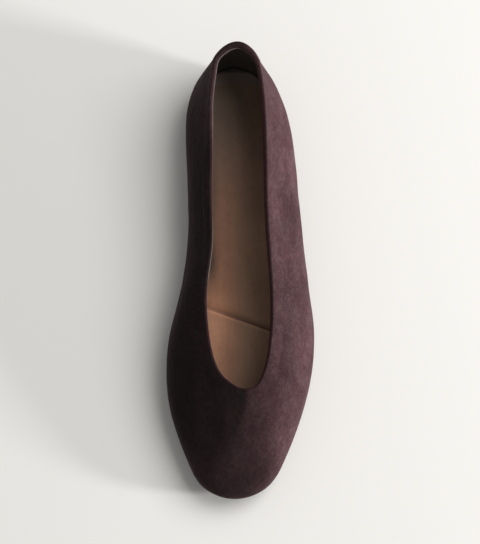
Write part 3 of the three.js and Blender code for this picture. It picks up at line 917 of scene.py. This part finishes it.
class Finish:
    """A node material under construction."""

    def __init__(self, name, roughness, specular=0.5):
        self.material = bpy.data.materials.new(name)
        self.material.use_nodes = True
        self.nodes = self.material.node_tree.nodes
        self.links = self.material.node_tree.links
        self.shader = self.nodes["Principled BSDF"]
        self.shader.inputs["Roughness"].default_value = roughness
        self.shader.inputs["Specular IOR Level"].default_value = specular
        self.place = self.nodes.new("ShaderNodeTexCoord").outputs["Object"]

    def sheen(self, weight, roughness, tint):
        self.shader.inputs["Sheen Weight"].default_value = weight
        self.shader.inputs["Sheen Roughness"].default_value = roughness
        self.shader.inputs["Sheen Tint"].default_value = (*tint, 1)

    def noise(self, size, detail=3, rough=0.55, stretch=(1, 1, 1)):
        """Cloudy noise with features of this size in millimetres, drawn out by stretch."""
        mapping = self.nodes.new("ShaderNodeMapping")
        mapping.inputs["Scale"].default_value = [1 / s for s in stretch]
        self.links.new(self.place, mapping.inputs["Vector"])
        node = self.nodes.new("ShaderNodeTexNoise")
        node.inputs["Scale"].default_value = 1 / (size * MM)
        node.inputs["Detail"].default_value = detail
        node.inputs["Roughness"].default_value = rough
        self.links.new(mapping.outputs["Vector"], node.inputs["Vector"])
        return node.outputs["Fac"]

    def ramp(self, value, low, high):
        """The value's range from low to high, opened out to 0 to 1."""
        node = self.nodes.new("ShaderNodeMapRange")
        node.interpolation_type = "SMOOTHSTEP"
        node.inputs["From Min"].default_value = low
        node.inputs["From Max"].default_value = high
        self.links.new(value, node.inputs["Value"])
        return node.outputs["Result"]

    def mix(self, share, first, second):
        """A colour between two others, each a colour or an output."""
        node = self.nodes.new("ShaderNodeMix")
        node.data_type = "RGBA"
        self.links.new(share, node.inputs["Factor"])
        for socket, colour in (("A", first), ("B", second)):
            target = next(s for s in node.inputs if s.name == socket and s.type == "RGBA")
            if isinstance(colour, tuple):
                target.default_value = (*colour, 1)
            else:
                self.links.new(colour, target)
        return next(s for s in node.outputs if s.type == "RGBA")

    def colour(self, output):
        self.links.new(output, self.shader.inputs["Base Color"])

    def dot(self, vector, direction):
        """A vector's length along a direction."""
        node = self.nodes.new("ShaderNodeVectorMath")
        node.operation = "DOT_PRODUCT"
        node.inputs[1].default_value = direction
        self.links.new(vector, node.inputs[0])
        return node.outputs["Value"]

    def facing(self, direction):
        """How far the surface faces this way: its normal's share of the direction."""
        return self.dot(self.nodes.new("ShaderNodeNewGeometry").outputs["Normal"], direction)

    def along(self, direction, start=0):
        """How far the place lies along a direction in plan, in millimetres past start."""
        reach = self.dot(self.place, (direction[0] / MM, direction[1] / MM, 0))
        return self.calculate("SUBTRACT", reach, start)

    def calculate(self, operation, first, second):
        """The operation on two values, each a number or an output."""
        node = self.nodes.new("ShaderNodeMath")
        node.operation = operation
        for socket, value in zip(node.inputs, (first, second)):
            if isinstance(value, (int, float)):
                socket.default_value = value
            else:
                self.links.new(value, socket)
        return node.outputs["Value"]

    def times(self, first, second):
        return self.calculate("MULTIPLY", first, second)

    def painted(self, name):
        node = self.nodes.new("ShaderNodeAttribute")
        node.attribute_name = name
        return node.outputs["Fac"]

    def shaded(self, colour, value, low, high):
        """The colour, made darker or lighter by a value from 0 to 1."""
        factor = self.nodes.new("ShaderNodeMapRange")
        factor.inputs["To Min"].default_value = low
        factor.inputs["To Max"].default_value = high
        self.links.new(value, factor.inputs["Value"])
        node = self.nodes.new("ShaderNodeVectorMath")
        node.operation = "SCALE"
        self.links.new(colour, node.inputs[0])
        self.links.new(factor.outputs["Result"], node.inputs["Scale"])
        return node.outputs["Vector"]

    def bump(self, height, distance, strength=1, under=None):
        """Relief of this depth in millimetres over any relief under it."""
        node = self.nodes.new("ShaderNodeBump")
        node.inputs["Distance"].default_value = distance * MM
        node.inputs["Strength"].default_value = strength
        self.links.new(height, node.inputs["Height"])
        if under is not None:
            self.links.new(under, node.inputs["Normal"])
        self.links.new(node.outputs["Normal"], self.shader.inputs["Normal"])
        return node.outputs["Normal"]


def suede_finish():
    """Napped suede, painted paler on the side toward the light and painted dark on the side
    away from it, with a dark red painted shade and a pale painted highlight along the rim's
    inner edge, and the lining's pale edge painted in.
    """
    # Colours of the painted shade on the side away from the light, of the dark red painted
    # shade on the rim's inner face, and of the pale painted highlight on its edge, which also
    # serves for the lining's pale edge
    painted_shade_colour = (0.0122, 0.007, 0.007)
    red_painted_shade = (0.06, 0.012, 0.014)
    pale_highlight_and_edge = (0.42, 0.37, 0.355)

    finish = Finish("suede", 0.95, specular=0.15)
    finish.sheen(0.14, 0.35, (0.72, 0.42, 0.48))
    patches = finish.ramp(finish.noise(24, 2, 0.5, (1, 1.5, 1)), 0.34, 0.66)
    spots = finish.ramp(finish.noise(7, 3, 0.55, (1, 1.4, 1)), 0.36, 0.66)
    marks = finish.ramp(finish.noise(2, 4, 0.6, (1, 1.3, 1)), 0.4, 0.64)
    scuffs = finish.ramp(finish.noise(4.5, 5, 0.65, (1, 1.8, 1)), 0.58, 0.72)
    specks = finish.ramp(finish.noise(1.3, 2, 0.5), 0.6, 0.7)
    fibres = finish.noise(0.5, 3, 0.6)

    # Painted light: paler where the suede faces the lateral side, toward the lamps, and darker
    # where it faces away
    side = finish.ramp(finish.facing((-1, 0, 0)), 0.05, 0.8)
    pink = finish.mix(side, (0.043, 0.0205, 0.0243), (0.106, 0.051, 0.0595))
    greyer = finish.mix(side, (0.041, 0.0225, 0.0255), (0.108, 0.0595, 0.0665))
    nap_and_painted_light = finish.mix(finish.painted("nap_and_painted_light"), painted_shade_colour, finish.mix(spots, pink, greyer))
    nap_and_painted_light = finish.shaded(nap_and_painted_light, patches, 0.83, 1.12)
    nap_and_painted_light = finish.shaded(nap_and_painted_light, spots, 0.9, 1.08)
    nap_and_painted_light = finish.shaded(nap_and_painted_light, marks, 0.84, 1.12)
    nap_and_painted_light = finish.shaded(nap_and_painted_light, scuffs, 0.97, 1.18)
    nap_and_painted_light = finish.shaded(nap_and_painted_light, specks, 1, 0.86)
    nap_and_painted_light = finish.shaded(nap_and_painted_light, finish.ramp(fibres, 0.3, 0.75), 0.66, 1.27)
    # Dark red painted shade on the rim's inner face, then the pale painted highlight of its
    # edge with the lining's pale edge
    dyed = finish.mix(finish.painted("red"), nap_and_painted_light, red_painted_shade)
    finish.colour(finish.mix(finish.painted("pale"), dyed, pale_highlight_and_edge))

    low = finish.bump(spots, 0.16)
    mid = finish.bump(marks, 0.07, under=low)
    finish.bump(fibres, 0.3, 0.8, under=mid)
    return finish.material


def tan_leather(finish, clouds):
    """Tan, greyer toward the heel and more olive on the lateral side as the tint of the shade
    there is painted in, and streaked.
    """
    tan = finish.mix(clouds, (0.265, 0.128, 0.074), (0.315, 0.157, 0.094))
    grey = finish.mix(clouds, (0.235, 0.15, 0.102), (0.27, 0.175, 0.121))
    olive_shade_tint = finish.mix(clouds, (0.29, 0.178, 0.119), (0.33, 0.206, 0.138))
    specks = finish.ramp(finish.noise(2.5, 4), 0.45, 0.75)
    streaks = finish.ramp(finish.noise(4.5, 3, 0.5, (1, 7, 1)), 0.32, 0.68)
    # Painted tint of the shade: greyer toward the heel and olive on the lateral side
    ahead_of_heel = finish.ramp(finish.along((0, 1)), -100, -40)
    lateral = finish.ramp(finish.along((1, 0)), 7, -9)
    leather = finish.mix(lateral, finish.mix(ahead_of_heel, grey, tan), olive_shade_tint)
    leather = finish.shaded(leather, specks, 1.03, 0.93)
    return finish.shaded(leather, streaks, 0.95, 1.05)


def with_fold(finish, leather):
    """The leather with the painted shade of the fold, deeper on the lateral side, and a
    painted highlight on its lip."""
    past = finish.along(fold_ahead, float(FOLD_MEDIAL @ fold_ahead))
    behind = finish.calculate("POWER", finish.ramp(past, -6, 0.4), 2.2)
    crease = finish.times(behind, finish.ramp(past, 1, 0.4))
    from_medial = finish.along(fold_run, float(FOLD_MEDIAL @ fold_run))
    lateral = finish.ramp(from_medial, -4, 20)
    depth = finish.calculate("ADD", 0.45, finish.times(0.42, lateral))
    lip = finish.times(finish.ramp(past, 0.3, 0.9), finish.ramp(past, 3.4, 1.1))
    # Painted shade in the fold and a painted highlight on its lip
    leather = finish.mix(finish.times(crease, depth), leather, (0.118, 0.062, 0.036))
    return finish.shaded(leather, lip, 1, 1.22)


def ahead_of(finish, end, arc, softness):
    """1 ahead of an end that runs forward to the sides by an arc, and 0 behind it."""
    sideways = finish.along((1, 0))
    bow = finish.times(finish.times(sideways, sideways), arc)
    bowed = finish.calculate("SUBTRACT", finish.along((0, 1)), bow)
    return finish.ramp(bowed, end - softness, end + softness)


def insole_finish():
    """Tan leather with painted light and shade, the painted shade of its fold, a grey seat
    behind the sock and the back wall's painted shade behind that.
    """
    finish = Finish("insole_leather", 0.58, specular=0.35)
    clouds = finish.ramp(finish.noise(22, 3), 0.3, 0.7)
    leather = with_fold(finish, tan_leather(finish, clouds))
    seat_grey = finish.mix(clouds, (0.265, 0.2, 0.172), (0.295, 0.225, 0.195))
    # Painted shade of the back wall, in the lining's dark grey, behind the seat's end
    back_wall_shade = (0.088, 0.073, 0.067)
    seat = finish.mix(ahead_of(finish, SEAT_END, SEAT_ARC, 1), back_wall_shade, seat_grey)
    whole = finish.mix(ahead_of(finish, SOCK_END, SOCK_ARC, 0.5), seat, leather)
    # Painted light and shade from the painted tone
    finish.colour(finish.shaded(whole, finish.painted("tone"), 0, 2))
    finish.bump(finish.noise(0.6, 2), 0.06, 0.7)
    return finish.material


def lining_finish():
    """Smooth lining, grey around the heel and tan toward the toe."""
    finish = Finish("lining_leather", 0.6, specular=0.3)
    clouds = finish.ramp(finish.noise(18, 3), 0.3, 0.7)
    grey = finish.mix(clouds, (0.082, 0.072, 0.064), (0.1, 0.088, 0.08))
    tan = finish.mix(clouds, (0.17, 0.08, 0.045), (0.21, 0.1, 0.058))
    finish.colour(finish.mix(finish.ramp(finish.along((0, 1)), -100, -50), grey, tan))
    finish.bump(finish.noise(0.6, 2), 0.06, 0.7)
    return finish.material


def rubber_finish(name, light, dark):
    finish = Finish(name, 0.72)
    clouds = finish.ramp(finish.noise(9, 4), 0.35, 0.7)
    finish.colour(finish.mix(clouds, dark, light))
    finish.bump(finish.noise(0.9, 2), 0.1, 0.6)
    return finish.material


def thread_finish():
    finish = Finish("thread", 0.75)
    twist = finish.noise(0.35, 1, 0.5, (1, 2, 1))
    finish.colour(finish.mix(twist, (0.03, 0.014, 0.017), (0.06, 0.03, 0.035)))
    finish.bump(twist, 0.1)
    return finish.material


def floor_finish():
    finish = Finish("floor", 0.9, specular=0.1)
    clouds = finish.noise(900, 1)
    finish.colour(finish.mix(clouds, (0.86, 0.855, 0.84), (0.88, 0.875, 0.865)))
    return finish.material


# Stage


def facing(place, target, up):
    """A rotation that looks from place to target, with up towards the top."""
    back = (place - target).normalized()
    right = up.cross(back).normalized()
    return Matrix((right, back.cross(right), back)).transposed().to_4x4()


def make_camera():
    data = bpy.data.cameras.new("camera")
    data.lens = PHOTO_LENS * CLOSER
    camera = bpy.data.objects.new("camera", data)
    toward_heel = Vector((math.tan(math.radians(ROLL)), -1, 0))
    turned = facing(CAMERA_PLACE, AIM, toward_heel)
    camera.matrix_world = Matrix.Translation(CAMERA_PLACE) @ turned
    bpy.context.scene.collection.objects.link(camera)
    bpy.context.scene.camera = camera


def area_light(name, azimuth, elevation, distance, size, power):
    """A soft light on the shoe's outer, lateral side. azimuth turns it to the toe."""
    round_about, high = math.radians(azimuth), math.radians(elevation)
    level = math.cos(high)
    across, ahead = -math.cos(round_about) * level, math.sin(round_about) * level
    place = Vector((across, ahead, math.sin(high))) * distance
    data = bpy.data.lights.new(name, "AREA")
    data.size = size
    data.energy = power
    data.color = WARM_WHITE
    lamp = bpy.data.objects.new(name, data)
    lamp.matrix_world = Matrix.Translation(place) @ facing(place, AIM, Vector((0, 0, 1)))
    bpy.context.scene.collection.objects.link(lamp)


def make_floor():
    corners = [(-1, -1, 0), (1, -1, 0), (1, 1, 0), (-1, 1, 0)]
    mesh = bpy.data.meshes.new("floor")
    mesh.from_pydata([Vector(corner) * FLOOR_HALF for corner in corners], [], [(0, 1, 2, 3)])
    mesh.materials.append(floor_finish())
    floor = bpy.data.objects.new("floor", mesh)
    bpy.context.scene.collection.objects.link(floor)


def make_sky():
    world = bpy.data.worlds.new("studio")
    world.use_nodes = True
    sky = world.node_tree.nodes["Background"]
    sky.inputs["Color"].default_value = SKY
    sky.inputs["Strength"].default_value = SKY_STRENGTH
    bpy.context.scene.world = world
    bpy.context.scene.view_settings.view_transform = "Standard"


def make_stage():
    make_camera()
    make_floor()
    area_light("high", azimuth=-28, elevation=56, distance=1.9, size=1.4, power=26)
    area_light("low", azimuth=12, elevation=16, distance=2.2, size=0.3, power=34)
    make_sky()


def make_shoe():
    outer_skin, outer_depths = make_upper(suede_finish())
    make_lining(lining_finish())
    make_insole(insole_finish())
    sole_rubber = rubber_finish("sole_rubber", (0.026, 0.017, 0.015), (0.018, 0.012, 0.011))
    heel_rubber = rubber_finish("heel_rubber", (0.02, 0.014, 0.012), (0.013, 0.009, 0.008))
    outline = make_outsole(sole_rubber)
    make_heel(outline, heel_rubber)
    make_stitches(outer_skin, outer_depths, thread_finish())


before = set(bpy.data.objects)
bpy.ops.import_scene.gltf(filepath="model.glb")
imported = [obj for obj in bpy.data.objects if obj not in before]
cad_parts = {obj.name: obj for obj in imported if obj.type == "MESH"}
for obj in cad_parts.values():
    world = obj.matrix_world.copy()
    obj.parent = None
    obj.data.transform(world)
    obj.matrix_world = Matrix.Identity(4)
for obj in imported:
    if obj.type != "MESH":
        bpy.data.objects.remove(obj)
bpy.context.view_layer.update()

make_stage()
make_shoe()
